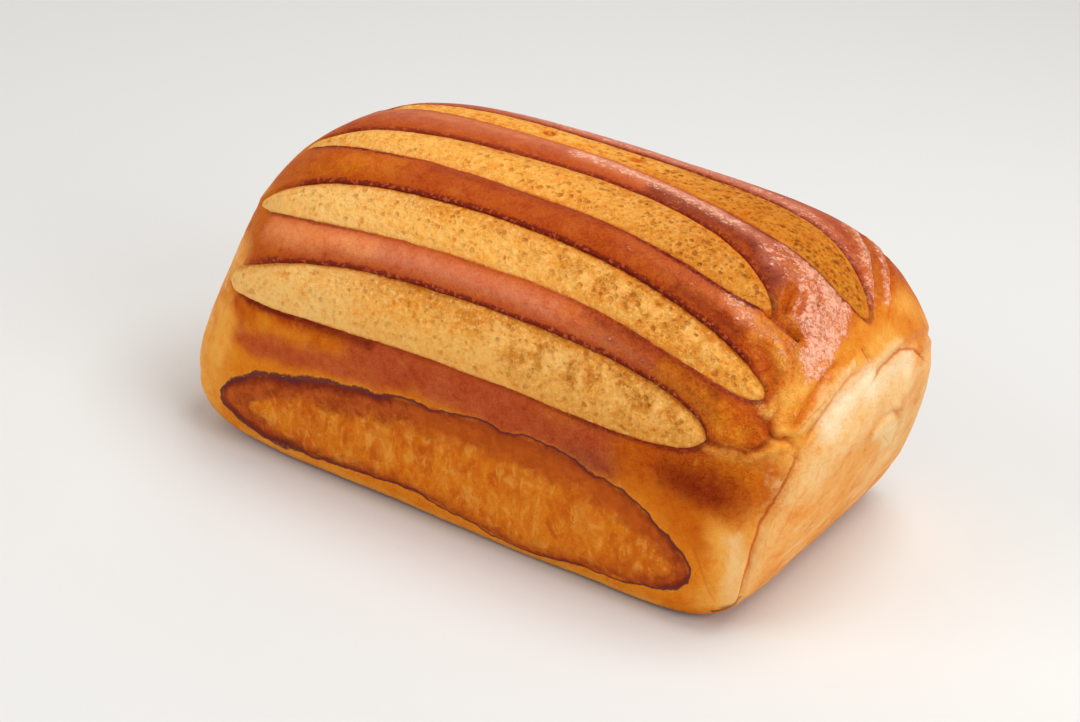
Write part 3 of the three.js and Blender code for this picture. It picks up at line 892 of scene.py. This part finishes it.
def crumbFinish():
    # pores are small and large bubbles cut open by the surface, deeper where the crumb is airy
    look = Finish("openCrumb")
    inner = look.layer("inner")
    airy = look.layer("airy")
    broad = look.noise(9, 3, 0.6)
    clump = look.noise(4.5, 3, 0.6)
    middle = look.noise(2.4, 3, 0.6)
    crumbly = look.noise(1.7, 4, 0.7)
    fine = look.noise(0.8, 3, 0.65)
    drift = look.node("ShaderNodeTexNoise", out="Color", Vector=look.place, Scale=700, Detail=2)
    bent = look.blend(0.0007, look.place, drift, "LINEAR_LIGHT")
    pore = 0
    for size, low, high, weight in bubbles:
        gap = look.node("ShaderNodeTexVoronoi", out="Distance", Vector=bent, Scale=1000 / size)
        chance = look.step(gap.other("Color") + airy * 0.15, 0.35, 0.7)
        bubble = look.step(gap - airy * 0.05, high, low) * chance * weight
        pore = bubble.math("MAXIMUM", pore)
    pore = pore * look.step(inner + middle.swing(3), 0.8, 2.8)

    pale = 1 - airy * 0.8
    base = look.worked(
        look.layer("tone", "Color"),
        (broad, 0.45, 0.7, 0.3, 1.3),
        (clump, 0.5, 0.66, 0.4, 1.45),
        (clump, 0.46, 0.3, pale * 0.3, "butter"),
        (middle, 0.45, 0.7, 0.3, 1.3),
        (middle, 0.48, 0.28, pale * 0.35, "butter"),
        (fine, 0.5, 0.68, 0.35, 1.4),
        (fine, 0.48, 0.34, pale * 0.3, "oat"),
        (crumbly, 0.52, 0.62, 0.4, 1.6),
        (crumbly, 0.47, 0.37, pale * 0.55, "oat"),
    )
    # the pores darker in the colour itself: painted shade in the hollows of the bubbles
    base = look.blend(pore * (airy * 0.2 + 0.5), base, look.gamma(base, 1.7))
    base = look.blend(pore * (airy * 0.65 + 0.08), base, palette["pore"])
    height = fine.swing(0.3) + (middle + clump - 1) * 0.8 - pore * 0.6 - crumbly.swing(0.5)
    return look.finish(base, 0.8, look.bump(height, 0.0012, 1), subsurface=0.08)


# Columns of the crust: close together at the torn edges, wider apart on the walls. Offsets and
# angles are in degrees, tilts in radians, evenFrom and evenAt in mm along the loaf
crustGrid = {
    "ear": (-3.6, -2.5, -1.75, -1.2, -0.8, -0.45, -0.15, 0.15, 0.45, 0.8, 1.3, 2.0),
    "floor": (-0.45, 0, 0.45),
    "hem": (-1.8, -1.1, -0.6, -0.25, 0.1, 0.45, 0.9, 1.5, 2.4),
    "between": (5, 10, 8, 5, 5),
    "straightRows": 208, "leftShoulder": 40, "rightShoulder": 62, "leftPanel": 24, "rightPanel": 34,
    "creaseTilts": (-0.07, -0.045, -0.022, 0, 0.022, 0.045, 0.07), "creaseSpread": 0.095,
    "evenFrom": 84, "evenAt": 99,
    "wallTop": 89, "wallFoot": 131, "frontColumns": 36, "backColumns": 26, "baseColumns": 7,
}


def columnAngles(x):
    # the angle of every column at each x: points by columns
    crown = []
    for index, score in enumerate(scores):
        middle, half = scoreLine(score, x)
        tip, *_, blunt = scoreSide(score, x)
        narrow = np.sqrt(np.maximum(1 - (np.abs(x) / tip) ** blunt, 0))
        half = np.maximum(half * narrow, scoreForm["tightest"])
        ears = [middle - half + offset for offset in crustGrid["ear"]]
        hems = [middle + half + offset for offset in crustGrid["hem"]]
        if index:
            count = crustGrid["between"][index - 1]
            start = crown[-1]
            crown += [start + (ears[0] - start) * (i + 1) / (count + 1) for i in range(count)]
        crown += ears
        crown += [middle + share * half for share in crustGrid["floor"]]
        crown += hems
    crown = np.stack(crown, -1)
    even = crustGrid["wallTop"] * np.linspace(-1, 1, crown.shape[1] + 2)[1:-1]
    fade = smooth(np.abs(x), crustGrid["evenFrom"], crustGrid["evenAt"])[:, None]
    crown = crown * (1 - fade) + even * fade
    foot = crustGrid["wallFoot"]
    frontShare = np.linspace(0, 1, crustGrid["frontColumns"] + 1)[1:]
    backShare = np.linspace(1, 0, crustGrid["backColumns"] + 1)[:-1]
    front = crown[:, -1:] + (foot - crown[:, -1:]) * frontShare
    back = crown[:, :1] - (foot + crown[:, :1]) * backShare
    under = np.linspace(foot, 180, crustGrid["baseColumns"] + 2)[1:-1]
    left = np.broadcast_to(np.concatenate([[-180.0], -under[::-1]]), (len(x), 1 + len(under)))
    right = np.broadcast_to(under, (len(x), len(under)))
    return np.concatenate([left, back, crown, front, right], 1)


def crustRows():
    # each row: where its rays start, the share of the crease's tilt and the tilt added to it
    rows = []
    for x in np.linspace(-form["capStart"], form["capStart"], crustGrid["straightRows"]):
        rows.append((x, 0, 0))
    spread = crustGrid["creaseSpread"]
    for side, shoulder, face in (
        (-1, crustGrid["leftShoulder"], crustGrid["leftPanel"]),
        (1, crustGrid["rightShoulder"], crustGrid["rightPanel"]),
    ):
        added = [(i / shoulder, -i / shoulder * spread) for i in range(1, shoulder)]
        added += [(1, tilt) for tilt in crustGrid["creaseTilts"]]
        for i in range(1, face):
            added.append((1 - i / face, (1 - i / face) * spread + i / face * math.pi / 2))
        for share, tilt in added:
            row = (side * form["capStart"], side * share, side * tilt)
            rows.insert(0 if side < 0 else len(rows), row)
    return np.array(rows)


# Edges are where a fade starts and ends, in mm along the loaf or degrees about the core line.
# stripPuff: rise of the crust between the scores in mm, over stripFade mm; the key after stripFade:
# the limit of the marks' painted highlight and glaze gloss; farRim: the distance in mm beyond which no
# score counts
crustForm = {
    "crownEdges": (104, 86), "endEdges": (86, 96), "stripEdges": (102, 76),
    "footEdges": (121, 126), "footEnds": (142, 134), "leftFade": (92, 78), "rightFade": (76, 86),
    "stripPuff": 1.1, "stripFade": 3.2, "patchSink": 0.3, "patchGroove": 0.35, "mostShine": 0.85,
    "farRim": 20.0,
}
# Noise on the crust: size in mm, seed and height in mm
crustNoise = {
    "swell": (26, 5, 0.35), "unevenness": (7, 6, 0.12), "leftFray": (6, 21, 3), "rightFray": (6, 22, 3),
    "foot": (24, 31, 0.7), "panel": (12, 8, 0.8), "ripple": (22, 9, 1), "mottle": (9, 12, 1),
    "puckers": (4, 41, 0.22),
}
# Noise along the scores: size in mm, what is added to the score's seed, and strength
tearNoise = {"wander": (9, 0, 0.35), "fray": (2.4, 1, 0.22), "torn": (2.6, 2, 0.7)}


def rough(points, noise, seed=0):
    # a named noise: its height times lumps of its size and seed
    size, own, height = noise
    return height * lumps(points, size, seed + own)


def crustSkin():
    # the crust's grid on the bare form, with a pole at each end, and its rows and columns; each
    # column keeps the angle that belongs to the x its ray reaches, found in three rounds
    rows = crustRows()
    start, share, added = (rows[:, i, None] for i in range(3))

    def reach(angle, steps):
        crease = np.arctan2(panel["face"] - form["capStart"], panelRadius(angle))
        tilt = share * crease + added
        return fromCore(np.repeat(start, angle.shape[1]), tilt.ravel(), angle.ravel(), steps)

    angle = columnAngles(rows[:, 0])
    for _ in range(3):
        x = reach(angle, 10)[:, 0].reshape(angle.shape)
        for column in range(angle.shape[1]):
            angle[:, column] = columnAngles(x[:, column])[:, column]
    cap = form["capStart"]
    poles = fromCore(np.array([-cap, cap]), np.array([-1, 1]) * math.pi / 2, np.zeros(2))
    print("crust grid", angle.shape)
    return np.concatenate([reach(angle, 15), poles]), angle.shape


def tornEdges(skin):
    # the ear's and the hem's profiles over the distance outside each score: the height, the slide
    # towards the crumb, the distance from the closest score and how burnt its ear and hem are
    height, slide, burntEar, burntHem = np.zeros((4, len(skin)))
    rim = np.full(len(skin), crustForm["farRim"])
    for score in scores:
        across, distance = scoreEdge(score, skin)
        seed = score["seed"]
        for name in ("wander", "fray"):
            distance = distance + rough(skin, tearNoise[name], seed)
        earShare = smooth(across, 0.35, -0.35)
        torn = 1 + rough(skin * [1, 0.3, 0.3], tearNoise["torn"], seed)
        ear = np.interp(distance, earShape["at"], earShape["height"])
        ear = np.where(ear > 0, ear * torn * score["lip"], ear)
        hem = np.interp(distance, hemShape["at"], hemShape["height"])
        height += earShare * ear + (1 - earShare) * hem
        reach = np.interp(distance, earShape["at"], earShape["slide"])
        slide += earShare * score["lip"] * torn * reach
        closer = distance < rim
        rim = np.where(closer, distance, rim)
        burntEar = np.where(closer, earShare * score["ear"], burntEar)
        burntHem = np.where(closer, (1 - earShare) * score["hem"], burntHem)
    return height, slide, rim, burntEar, burntHem


def tinPatch(skin, normal):
    # mm inside the patch's outline, the same less its margin, and the strength of the outline
    x, y, z = skin.T
    oval = np.where(y < 0, ovalDistance(ovals["front"], x, z), ovalDistance(ovals["back"], x, z))
    upright = smooth(np.abs(normal[:, 1]), 0.5, 0.8)
    oval = oval * upright - 20 * (1 - upright)
    # the outline is strongest at the upper left, with weaker places at the lower left and the right
    line = 0.4 + smooth(-x, 5, 50) * (0.35 + 0.6 * smooth(z, 15, 30))
    line += 0.7 * bell(x + 70, 16) * smooth(z, 16, 10) + 0.3 * smooth(x, 60, 74)
    line = np.where(y < 0, line, 1.0)
    # the margin is widest along the top and at the left tip, and wider than the least at the right
    top, floor = ovalEdges(ovals["front"], x)
    upper = smooth(z - (top + floor) / 2, -3, 6)
    inside = oval - 7 * upper - 9 * smooth(-x, 62, 82) * (y < 0)
    inside = inside - 4 * smooth(x, 35, 70) * (1 - upper)
    return oval, inside, line


def makeCrust():
    # the bare form plus its relief, as one closed skin with colour and finish layers
    skin, shape = crustSkin()
    normal = outward(skin)
    across = np.cross([1.0, 0, 0], normal)
    across /= np.maximum(np.linalg.norm(across, axis=1, keepdims=True), 1e-6)
    x = skin[:, 0]
    away = np.abs(x)
    turn, radius = polar(skin)
    steep = np.abs(turn)
    crown = smooth(steep, *crustForm["crownEdges"])
    onEnd = smooth(away, *crustForm["endEdges"])

    torn, slide, rim, burntEar, burntHem = tornEdges(skin)
    height = rough(skin, crustNoise["swell"]) + rough(skin, crustNoise["unevenness"]) + torn
    burntEar *= smooth(rough(skin, crustNoise["leftFray"]) - x, *crustForm["leftFade"])
    # towards the right end, only the front scores lose their burnt ear
    paler = smooth(x + rough(skin, crustNoise["rightFray"]), *crustForm["rightFade"]) * (turn > 30)
    burntEar *= 1 - 0.8 * paler
    # the hem is least burnt in the middle of the loaf
    burntHem *= (0.45 + 0.55 * smooth(np.abs(x + 10), 25, 60)) * smooth(-x, 96, 86)
    strips = crown * smooth(away, *crustForm["stripEdges"]) * (rim > 0)
    strips *= 1 - bell(np.maximum(rim, 0), crustForm["stripFade"])
    height += crustForm["stripPuff"] * strips

    # a wavy foot, the panels on the ends and the shallow patch on each wall
    foot = smooth(steep, *crustForm["footEdges"]) * smooth(steep, *crustForm["footEnds"])
    height += foot * (rough(skin * [1, 0.2, 0.2], crustNoise["foot"]) - 0.2)
    outside = radius - panelRadius(turn) + rough(skin, crustNoise["panel"])
    height -= onEnd * panel["creaseDepth"] * bell(outside, panel["creaseWidth"])
    height -= onEnd * panel["sink"] * smooth(outside, 1, -6)
    oval, inside, line = tinPatch(skin, normal)
    height -= crustForm["patchGroove"] * bell(oval + 0.4, 1.3)
    height -= crustForm["patchSink"] * smooth(oval, -1, 2)

    # ground colours: copper crown, golden walls, peach ends, brown base
    ripple = rough(skin, crustNoise["ripple"])
    mottle = smooth(rough(skin, crustNoise["mottle"]), -0.2, 0.7)
    tones = painted(
        np.tile(palette["gold"], (len(skin), 1)),
        (smooth(steep + 4 * ripple, 92, 84), "copper"),
        (smooth(steep, 86, 92) * (1 - onEnd) * (0.5 + 0.5 * ripple), "honey"),
        (smooth(away + 3 * ripple, 88, 100) * smooth(steep, 100, 60), "honey"),
        (onEnd * smooth(outside, 6, -3), "peach"),
        (onEnd * bell(outside - 3, 5) * 0.7, "straw"),
        (onEnd * smooth(outside, 0, -12) * mottle * 0.4, "gold"),
        (smooth(skin[:, 2], 3.5, 0.5), "base"),
    )
    # how much painted highlight the marks lay into the colour, which also makes the glaze glossier
    glintAndGloss = np.zeros(len(skin))
    for index, stroke in enumerate(marks):
        strength, relief = brush(stroke, skin, 100 + index)
        tones = painted(tones, (strength * stroke["mix"], stroke["tone"]))
        height += relief
        glintAndGloss += strength * stroke["glintAndGloss"]
    cut, creaseShade, relief = foldLines(skin, normal)
    height += relief
    # small puckers over the bulge at the right
    bulge = smooth(x, 68, 82) * crown * (1 - onEnd * smooth(x, 98, 102))
    height += bulge * rough(skin * [0.6, 1, 1], crustNoise["puckers"])

    crackle = (0.35 + 0.35 * smooth(x, 5, 45) + 0.4 * smooth(x, 55, 80)) * crown
    layers = {
        "oval": oval, "inside": inside, "line": line, "rim": np.clip(rim, -3, 8), "ear": burntEar,
        "hem": burntHem, "cut": cut, "creaseShade": creaseShade, "face": onEnd * smooth(outside, 4, -4),
        "gloss": smooth(steep, 88, 76) * (1 - 0.4 * onEnd),
        "crackle": crackle * (1 - 0.75 * smooth(away, 88, 97)),
        "glintAndGloss": np.clip(glintAndGloss, 0, crustForm["mostShine"]),
    }
    skin = skin + normal * height[:, None] + across * slide[:, None]
    skin[:, 2] = np.maximum(skin[:, 2], 0)
    grid = skin[:-2].reshape(*shape, 3)
    piece = closedSkin("crust", grid, skin[-2:], layers, tones, crustFinish())
    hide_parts("loaf")
    print("crust made,", len(piece.data.polygons) * 2, "triangles at most")


# under: how far the crumb reaches under the crust; hemLow and top: its heights at the hem and in the
# middle; reach: how fast it rises; thick: its depth; all in mm, as is rowStep
crumbForm = {"under": 1.3, "hemLow": -0.2, "top": 0.8, "reach": 3.2, "thick": 5.0,
             "rowStep": 0.4, "columns": 56, "underColumns": 6}
# Dimples: cell, least and most radius in mm, share of cells with one, drift along the score, depth
dimples = {"cell": 5.5, "least": 0.5, "most": 1.4, "share": 0.5, "drift": 0.3, "deep": 0.4}
# Noise on the crumb: size in mm, what is added to the score's seed, and height in mm
crumbNoise = {
    "swell": (14, 0, 0.3), "unevenness": (3, 3, 0.1), "along": (2.2, 8, 0.5), "around": (2.2, 9, 0.5),
    "lumpy": (2.6, 13, 0.15), "torn": (3.6, 16, 1), "hole": (2, 17, 0.4),
    "gold": (8, 11, 0.3), "olive": (8, 12, 0.3), "butter": (8, 15, 0.3), "honey": (4, 14, 1),
}


def makeCrumb(number, score, material):
    # a lens of open crumb under the edges of one score: its upper side bulges, pits make the pores
    wider = crumbForm["under"]
    seed = score["seed"]
    airy = score["airy"]
    tipX = np.array([-score["left"][0] - wider, score["right"][0] + wider])
    count = int((tipX[1] - tipX[0]) / crumbForm["rowStep"])
    row = np.linspace(*tipX, count + 2)[1:-1]
    top = np.linspace(-1, 1, crumbForm["columns"])
    bottom = np.linspace(1, -1, crumbForm["underColumns"] + 2)[1:-1]
    place = np.concatenate([top, bottom])
    middle, half = scoreLine(score, row)
    tip, *_, blunt = scoreSide(score, row)
    narrow = np.sqrt(1 - (np.abs(row) / (tip + wider)) ** blunt)
    angle = middle[:, None] + ((half + wider) * narrow)[:, None] * place
    start = np.repeat(row, len(place))
    skin = fromCore(start, 0 * start, angle.ravel())
    skin = np.concatenate([skin, fromCore(tipX, 0 * tipX, scoreLine(score, tipX)[0])])
    lower = np.concatenate([0 * top, 1 - bottom**2])
    lowered = np.concatenate([np.tile(lower, count), [0, 0]])
    normal = outward(skin)
    across, distance = scoreEdge(score, skin)
    turn, radius = polar(skin)
    arc = radius * math.pi / 180
    x = skin[:, 0]

    def noise(name):
        return rough(skin, crumbNoise[name], seed)

    inner = np.maximum(-distance, 0)
    edge = crumbForm["hemLow"] - (score["sunk"] + crumbForm["hemLow"]) * smooth(-across, -1, 1)
    height = edge + (crumbForm["top"] - edge) * (1 - np.exp(-inner / crumbForm["reach"]))
    height -= 0.8 * np.maximum(distance, 0) + crumbForm["thick"] * lowered
    height += noise("swell") + noise("unevenness")

    # dimples, and a band of coarse torn crumb along the right half, under the ear
    u = x + noise("along")
    v = (turn - scoreLine(score, x)[0]) * arc + noise("around")
    centre = smooth(inner, 1.2, 3.5)
    size, least, most, share = (dimples[name] for name in ("cell", "least", "most", "share"))
    dents = pits(u + dimples["drift"] * v, v, size, least, most, share, seed + 6)
    height += centre * (noise("lumpy") - dimples["deep"] * dents)
    woolly = smooth(x, -30, 25) * smooth(x, 80, 66) * bell(across + 0.2, 0.55) * (1 - airy) * centre
    torn = rough(skin * [1, 0.6, 0.6], crumbNoise["torn"], seed)
    height -= woolly * 0.5 * smooth(torn, -0.1, 0.6)
    holes = np.zeros(len(skin))
    for holeX, holeAngle, wide, deep in score.get("holes", ()):
        off = np.hypot(x - holeX, (turn - holeAngle) * arc)
        holes = np.maximum(holes, smooth(off + noise("hole"), wide * 1.2, wide * 0.5))
        height -= deep * smooth(off, wide * 1.2, 0)

    # on the ear side the olive and, near the edge, the honey are painted shade under the torn upper
    # edge, over some of the crumb's own olive tone
    tones = painted(
        np.tile(palette["straw"], (len(skin), 1)),
        (smooth(across + noise("gold"), 0.3, 1) * 0.5, "gold"),
        (smooth(across + noise("olive"), 0, -0.9) * 0.6, "olive"),
        (airy * smooth(x, -20, 60) * 0.95, "corn"),
        ((1 - airy) * smooth(across + noise("butter"), -0.4, 0.6) * smooth(x, 60, 0) * 0.8, "butter"),
        (smooth(-x, 25, 65) * (1 - airy) * 0.95, "oat"),
        (smooth(x, 10, 60) * smooth(-across, -0.2, 0.8) * 0.25, "olive"),
        (woolly * smooth(torn, -0.1, 0.5) * 0.65, "bran"),
        (woolly * smooth(-torn, -0.2, 0.4) * 0.8, "oat"),
        (smooth(inner + noise("honey"), 2.6, 0.2) * smooth(across, 0.3, -0.3) * 0.75, "honey"),
        (smooth(inner, 0.8, 0) * 0.7 * smooth(-x, 88, 60), "amber"),
        (holes * 0.85, "amber"),
    )
    skin = skin + normal * height[:, None]
    grid = skin[:-2].reshape(count, len(place), 3)
    layers = {"inner": inner, "airy": airy * smooth(x, -90, 60)}
    closedSkin(f"crumb{number}", grid, skin[-2:], layers, tones, material)


makeCrust()
openCrumb = crumbFinish()
for number, score in enumerate(reversed(scores), 1):
    makeCrumb(number, score, openCrumb)
print("crumb made")


def makeFloor():
    # a plain square that reaches 4 m each way
    half = 4.0
    corners = [(-half, -half, 0), (half, -half, 0), (half, half, 0), (-half, half, 0)]
    mesh = bpy.data.meshes.new("floor")
    mesh.from_pydata(corners, [], [(0, 1, 2, 3)])
    look = Finish("paleFloor")
    normal = look.bump(look.noise(2), 0.0001, 0.2)
    mesh.materials.append(look.finish((0.76, 0.79, 0.84, 1), 0.8, normal, specular=0.5))
    floor = bpy.data.objects.new("floor", mesh)
    bpy.context.scene.collection.objects.link(floor)


def turnedTo(piece, right, up, back, place):
    # puts a lamp or the camera at a place, looking against its back axis
    turned = Matrix([list(right), list(up), list(back)]).transposed().to_4x4()
    turned.translation = place
    piece.matrix_world = turned
    bpy.context.scene.collection.objects.link(piece)


def makeLamp(name, place, size, power, tint):
    # a square soft box that faces the studio's aim: size in m, power in W
    data = bpy.data.lights.new(name, "AREA")
    data.shape = "SQUARE"
    data.size = size
    data.energy = power
    data.color = tint
    back = np.array(place) - studio["aim"]
    back = back / np.linalg.norm(back)
    right = np.cross([0, 0.0001, 1], back)
    right /= np.linalg.norm(right)
    turnedTo(bpy.data.objects.new(name, data), right, np.cross(back, right), back, place)


studio = {"aim": (0, 0, 0.05), "warm": (1, 0.955, 0.87), "warmer": (1, 0.86, 0.72),
          "sky": (1, 0.965, 0.9, 1), "skyStrength": 0.3}

makeFloor()
makeLamp("overhead", (0.3, 0.15, 1.1), 0.8, 8.8, studio["warm"])
makeLamp("frontLeft", (-0.9, -1.3, 0.8), 1.1, 10.6, studio["warm"])
makeLamp("right", (1.4, -0.4, 0.8), 1.1, 10.2, studio["warm"])
makeLamp("backLeft", (-0.8, 1.4, 0.75), 0.9, 3.5, studio["warmer"])
world = bpy.data.worlds.new("studio")
world.use_nodes = True
world.node_tree.nodes["Background"].inputs[0].default_value = studio["sky"]
world.node_tree.nodes["Background"].inputs[1].default_value = studio["skyStrength"]
bpy.context.scene.world = world
bpy.context.scene.view_settings.view_transform = "Standard"

# The camera: angles in degrees; distance, and the target's offset from the core line, in mm
cameraView = {"azimuth": 28.117, "elevation": 25.5, "roll": 7.106, "distance": 763.372,
              "right": -10.213, "up": -12.353, "lens": 79.9}


def makeCamera():
    # back points from the target to the lens; right and up are turned by the roll
    turn, tip, roll = (math.radians(cameraView[name]) for name in ("azimuth", "elevation", "roll"))
    back = np.array([math.sin(turn) * math.cos(tip), -math.cos(turn) * math.cos(tip), math.sin(tip)])
    right = np.array([math.cos(turn), math.sin(turn), 0])
    up = np.cross(back, right)
    target = cameraView["right"] * right + cameraView["up"] * up + [0, 0, form["coreHeight"]]
    place = (target + back * cameraView["distance"] + boxShift) * metre
    rolledRight = right * math.cos(roll) + up * math.sin(roll)
    rolledUp = up * math.cos(roll) - right * math.sin(roll)
    data = bpy.data.cameras.new("camera")
    data.lens = cameraView["lens"]
    data.sensor_width = 36
    camera = bpy.data.objects.new("camera", data)
    turnedTo(camera, rolledRight, rolledUp, back, place)
    bpy.context.scene.camera = camera


makeCamera()
print("stage, lights and camera set")
